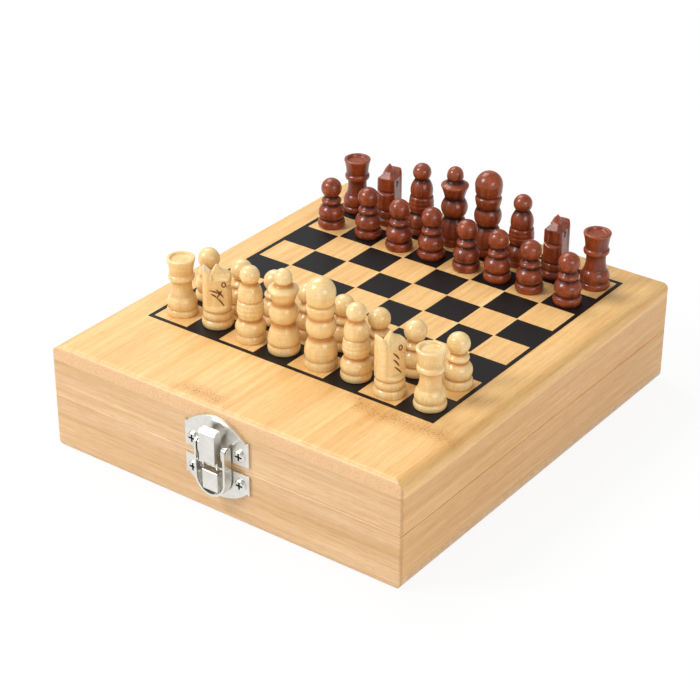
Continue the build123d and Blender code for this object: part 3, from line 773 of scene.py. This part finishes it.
# the body that each one moves with, and the width of its edges in mm
easing = {
    "latch_catch_plate": ("lid", 0.16),
    "latch_keeper_plate": ("base", 0.16),
    "latch_lever": ("latch_lever", 0.22),
    "latch_strap": ("latch_strap", 0.20),
    "latch_link_pin": ("latch_lever", 0.10),
    "latch_rivets": ("base", 0.12),
    "latch_screws_lid": ("lid", 0.08),
    "latch_screws_base": ("base", 0.08),
    "hinge_leaves_base": ("base", 0.12),
    "hinge_leaves_lid": ("lid", 0.12),
    "hinge_pins": ("base", 0.12),
    "hinge_screws_lid": ("lid", 0.10),
    "hinge_screws_base": ("base", 0.10),
}


def easedCopy(name, body, width):
    # the loose triangles are joined, flat ones become one face, and every sharp edge gets a small round
    mesh = nodes[name].data.copy()
    copy = bpy.data.objects.new("eased_" + name, mesh)
    bpy.context.scene.collection.objects.link(copy)
    joined = bmesh.new()
    joined.from_mesh(mesh)
    bmesh.ops.remove_doubles(joined, verts=joined.verts, dist=0.001 * mm)
    bmesh.ops.dissolve_limit(joined, angle_limit=math.radians(1), verts=joined.verts, edges=joined.edges)
    joined.to_mesh(mesh)
    joined.free()
    mesh.polygons.foreach_set("use_smooth", np.ones(len(mesh.polygons), bool))
    dress(copy, steel)
    bevel = copy.modifiers.new("edges", "BEVEL")
    bevel.width = width * mm
    bevel.segments = 3
    bevel.limit_method = "ANGLE"
    bevel.angle_limit = math.radians(28)
    bevel.use_clamp_overlap = True
    mesh.set_sharp_from_angle(angle=math.radians(40))
    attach(copy, body)
    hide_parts(name)


for name, (body, width) in easing.items():
    easedCopy(name, body, width)
print("metal eased")


# Painted shade: dark bars in the cross recesses of the latch's four screws, standing in for the shade there

crossLook = {
    "arm": 2.79,  # mm
    "width": 0.69,
    "under": 0.06,
    "behind": 0.01,
}


def crossShadeBars(node, body):
    # two flat bars of painted shade across each screw head, just under its top and one a hair behind the other:
    # each corner is half a bar's width and half its height away from the head's middle
    look = crossLook
    low, high = (np.array(corner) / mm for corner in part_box(node))
    radius = (high[2] - low[2]) / 2
    level, front = low[2] + radius, low[1] + look["under"]
    middles = np.array([[low[0] + radius, front, level], [high[0] - radius, front, level]])
    halfArm, halfWidth = look["arm"] / 2, look["width"] / 2
    bars = np.array([[halfArm, look["behind"], halfWidth], [halfWidth, 0, halfArm]])
    corners = np.array([[-1, 1, -1], [1, 1, -1], [1, 1, 1], [-1, 1, 1]])
    points = (middles[:, None, None] + bars[:, None] * corners).reshape(-1, 3) * mm
    faces = np.arange(len(points)).reshape(-1, 4)
    obj = pieceObject("crossShade_" + node, points.tolist(), faces.tolist(), recessShade, smooth=False)
    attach(obj, body)


crossShadeBars("latch_screws_lid", "lid")
crossShadeBars("latch_screws_base", "base")


# Floor, light and camera

studio = {
    "floor": 3.0,  # metres from the middle to each side
    "floorColour": colour(250, 250, 250),
    "whiteShare": 0.90,
    "worldStrength": 0.40,
    "worldReflected": 0.42,
}

# each lamp's power in watts, then its size, its place and where it aims, in metres
lamps = {
    "key": (9.2, (0.45, 0.45), (-0.62, -0.72, 0.85), (0, 0, 0.03)),
    "fill": (3.2, (0.6, 0.4), (0.95, -0.35, 0.45), (0, 0, 0.03)),
    "top": (3.6, (0.5, 0.5), (-0.48, 0.22, 0.75), (-0.02, 0, 0.03)),
}


def floorMaterial():
    # white to the camera and in reflections, a plain pale surface to everything else, so a soft shadow stays
    material = bpy.data.materials.new("floorPale")
    material.use_nodes = True
    tree = material.node_tree
    tree.nodes.clear()
    path = addNode(tree, "ShaderNodeLightPath").outputs
    seen = calc(tree, "MAXIMUM", path["Is Camera Ray"], path["Is Glossy Ray"])
    seen = calc(tree, "MAXIMUM", seen, path["Is Transmission Ray"])
    share = times(tree, seen, studio["whiteShare"])
    matt = addNode(tree, "ShaderNodeBsdfDiffuse", {"Color": studio["floorColour"]}).outputs[0]
    white = addNode(tree, "ShaderNodeEmission", {"Color": (1, 1, 1, 1), "Strength": 1.0}).outputs[0]
    both = addNode(tree, "ShaderNodeMixShader", {0: share, 1: matt, 2: white}).outputs[0]
    addNode(tree, "ShaderNodeOutputMaterial", {0: both})
    return material


def floorPlane():
    size = studio["floor"]
    corners = [(-size, -size, 0), (size, -size, 0), (size, size, 0), (-size, size, 0)]
    obj = pieceObject("floor", corners, [(0, 1, 2, 3)], floorMaterial(), smooth=False)


def softLight(name, power, size, place, aim):
    # a panel whose own z axis points from the aim to its place
    lamp = bpy.data.lights.new(name, "AREA")
    lamp.energy = power
    lamp.shape = "RECTANGLE"
    lamp.size, lamp.size_y = size
    obj = bpy.data.objects.new(name, lamp)
    bpy.context.scene.collection.objects.link(obj)
    direction = np.array(place) - np.array(aim)
    direction = direction / np.linalg.norm(direction)
    side = np.cross([0, 0, 1], direction)
    side /= np.linalg.norm(side)
    up = np.cross(direction, side)
    turn = np.eye(4)
    turn[:3, 0], turn[:3, 1], turn[:3, 2], turn[:3, 3] = side, up, direction, place
    obj.matrix_world = Matrix(turn.tolist())


def world():
    sky = bpy.data.worlds.new("studio")
    bpy.context.scene.world = sky
    sky.use_nodes = True
    tree = sky.node_tree
    back = tree.nodes["Background"]
    path = addNode(tree, "ShaderNodeLightPath").outputs
    back.inputs["Color"].default_value = (1, 1, 1, 1)
    level = spread(tree, path["Is Glossy Ray"], 0, 1, studio["worldStrength"], studio["worldReflected"])
    level = calc(tree, "MAXIMUM", level, path["Is Camera Ray"])
    tree.links.new(level, back.inputs["Strength"])


cameraLook = {
    "place": (369.3, -512.2, 380.8),  # mm in the object's frame
    "azimuth": 36.39,  # degrees
    "elevation": 29.41,
    "roll": 0.20,
    "focal": 106.4,  # mm, on a sensor 36 mm wide
}


def camera():
    look = cameraLook
    lens = bpy.data.cameras.new("camera")
    lens.lens = look["focal"]
    lens.sensor_width = 36
    lens.clip_start = 0.01
    obj = bpy.data.objects.new("camera", lens)
    bpy.context.scene.collection.objects.link(obj)
    turn = (
        Matrix.Rotation(math.radians(look["azimuth"]), 4, "Z")
        @ Matrix.Rotation(math.radians(90 - look["elevation"]), 4, "X")
        @ Matrix.Rotation(math.radians(look["roll"]), 4, "Z")
    )
    obj.matrix_world = Matrix.Translation([value * mm for value in look["place"]]) @ turn
    bpy.context.scene.camera = obj


floorPlane()
for name, lamp in lamps.items():
    softLight(name, *lamp)
world()
camera()
bpy.context.scene.view_settings.view_transform = "Standard"
print("studio set")
